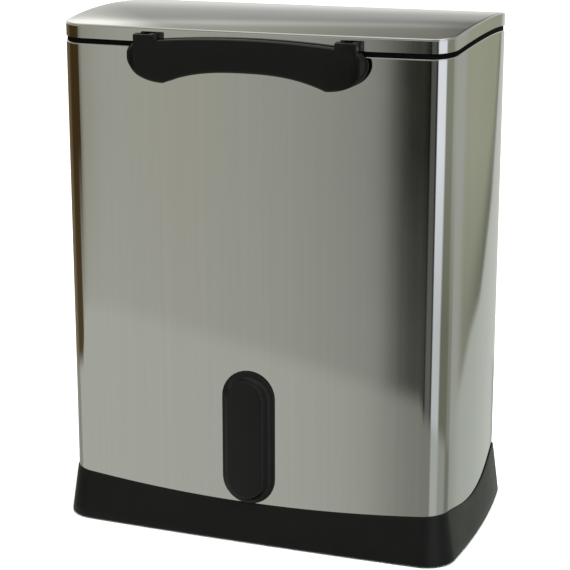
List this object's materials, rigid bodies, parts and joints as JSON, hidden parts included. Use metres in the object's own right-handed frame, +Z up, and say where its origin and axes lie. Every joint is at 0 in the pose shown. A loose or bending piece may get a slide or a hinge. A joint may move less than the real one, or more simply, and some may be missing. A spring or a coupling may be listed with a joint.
{
  "type": "trash compactor",
  "caption": "Hand-operated household trash compactor: steel bin with a black base collar, hinged crowned lid, swing-out press handle, toe pad, lift-out bucket and a scissor ram under the lid.",
  "frame": {"origin": "on the floor, under the middle of the steel casing: halfway between its sides, and halfway between its flat back and the middle of its front", "axes": "+Z up along the height, +X to the right as seen from the front, +Y towards the back; the front with the handle and toe pad faces -Y"},
  "size_m": [0.506, 0.293, 0.626],
  "materials": {
    "brushed_casing": "satin, grain across the front",
    "plain_steel": "satin",
    "cast_aluminium": "sand cast",
    "collar_plastic": "satin moulded plastic",
    "black_plastic": "moulded plastic",
    "grip_plastic": "glossy moulded plastic",
    "pad_plastic": "semi-gloss moulded plastic",
    "grey_plastic": "moulded plastic",
    "feet_rubber": "matte",
    "pressed_steel": "black zinc plate",
    "magnet": "nickel plate",
    "filter_felt": "charcoal felt",
    "arm_steel": "zinc plate",
    "pin_steel": "bright",
    "roller_nylon": "smooth",
    "screw_steel": "zinc plate"
  },
  "bodies": {
    "casing": {"base_plinth": "collar_plastic", "rubber_feet": "feet_rubber", "bottom_pan": "plain_steel", "body_shell": "brushed_casing", "back_panel": "plain_steel", "top_rim": "black_plastic", "rod_clips": "black_plastic", "pad_guide": "grey_plastic", "magnet_catch": "magnet", "waste_bucket": "grey_plastic", "bag_ring": "plain_steel", "body_hinge_leaves": "pressed_steel", "hinge_pins": "pin_steel", "casing_screws": "screw_steel", "base_screws": "screw_steel"},
    "toe_pad": {"kick_pad": "pad_plastic"},
    "crank": {"release_crank": "pressed_steel", "crank_spring": "pin_steel"},
    "lifter": {"lifter_rod": "pressed_steel"},
    "lid": {"lid_shell": "brushed_casing", "lid_liner": "black_plastic", "strike_plate": "magnet", "odor_filter": "filter_felt", "lid_hinge_leaves": "pressed_steel", "handle_brackets": "pressed_steel", "lid_rails": "pressed_steel", "lid_brackets": "pressed_steel", "lid_pins": "pin_steel"},
    "handle": {"handle_grip": "grip_plastic", "handle_rods": "pin_steel", "handle_springs": "pin_steel"},
    "arms_a": {"upper_arms_rear": "arm_steel", "front_cross_rod": "pin_steel", "upper_center_pins": "pin_steel"},
    "arms_b": {"upper_arms_front": "arm_steel", "rear_cross_rod": "pin_steel", "upper_rollers": "roller_nylon", "ram_springs": "pin_steel"},
    "arms_c": {"lower_arms_rear": "arm_steel", "lower_center_pins": "pin_steel", "lower_rollers": "roller_nylon"},
    "arms_d": {"lower_arms_front": "arm_steel"},
    "ram": {"ram_plate": "cast_aluminium", "ram_pad": "black_plastic", "ram_rails": "pressed_steel", "ram_brackets": "pressed_steel", "ram_pins": "pin_steel"}
  },
  "joints": [
    {"name": "lid_open", "type": "hinge", "parent": "casing", "child": "lid", "pos_m": [0, 0.14, 0.601], "axis": [-1, 0, 0], "range_deg": [0, 90]},
    {"name": "handle_swing", "type": "hinge", "parent": "lid", "child": "handle", "pos_m": [0, -0.14, 0.602], "axis": [-1, 0, 0], "range_deg": [0, 60], "stiffness_Nm_per_rad": 0.15, "springref_deg": -34.38},
    {"name": "toe_press", "type": "slide", "parent": "casing", "child": "toe_pad", "axis": [0, 1, 0], "range_m": [0, 0.008], "stiffness_N_per_m": 600, "springref_m": -0.01},
    {"name": "crank_turn", "type": "hinge", "parent": "casing", "child": "crank", "pos_m": [0, -0.1125, 0.093], "axis": [-1, 0, 0], "range_deg": [0, 11]},
    {"name": "lifter_rise", "type": "slide", "parent": "casing", "child": "lifter", "axis": [0, 0, 1], "range_m": [0, 0.0024]},
    {"name": "ram_press", "type": "hinge", "parent": "lid", "child": "arms_a", "pos_m": [0, 0.102, 0.583], "axis": [1, 0, 0], "range_deg": [0, 41], "stiffness_Nm_per_rad": 8, "springref_deg": -126.05},
    {"name": "upper_cross", "type": "hinge", "parent": "arms_a", "child": "arms_b", "pos_m": [0, 0.0141, 0.56908], "axis": [-1, 0, 0], "range_deg": [0, 82]},
    {"name": "middle_fold", "type": "hinge", "parent": "arms_b", "child": "arms_c", "pos_m": [0, 0.102, 0.55515], "axis": [1, 0, 0], "range_deg": [0, 82]},
    {"name": "lower_cross", "type": "hinge", "parent": "arms_c", "child": "arms_d", "pos_m": [0, 0.0141, 0.54123], "axis": [-1, 0, 0], "range_deg": [0, 82]},
    {"name": "ram_level", "type": "hinge", "parent": "arms_d", "child": "ram", "pos_m": [0, 0.102, 0.52731], "axis": [1, 0, 0], "range_deg": [0, 41]}
  ],
  "couplings": [
    {"joint": "crank_turn", "follows": "toe_press", "rad_per_m": 23.809},
    {"joint": "lifter_rise", "follows": "toe_press", "ratio": 0.29762},
    {"joint": "upper_cross", "follows": "ram_press", "ratio": 2},
    {"joint": "middle_fold", "follows": "ram_press", "ratio": 2},
    {"joint": "lower_cross", "follows": "ram_press", "ratio": 2},
    {"joint": "ram_level", "follows": "ram_press", "ratio": 1}
  ]
}
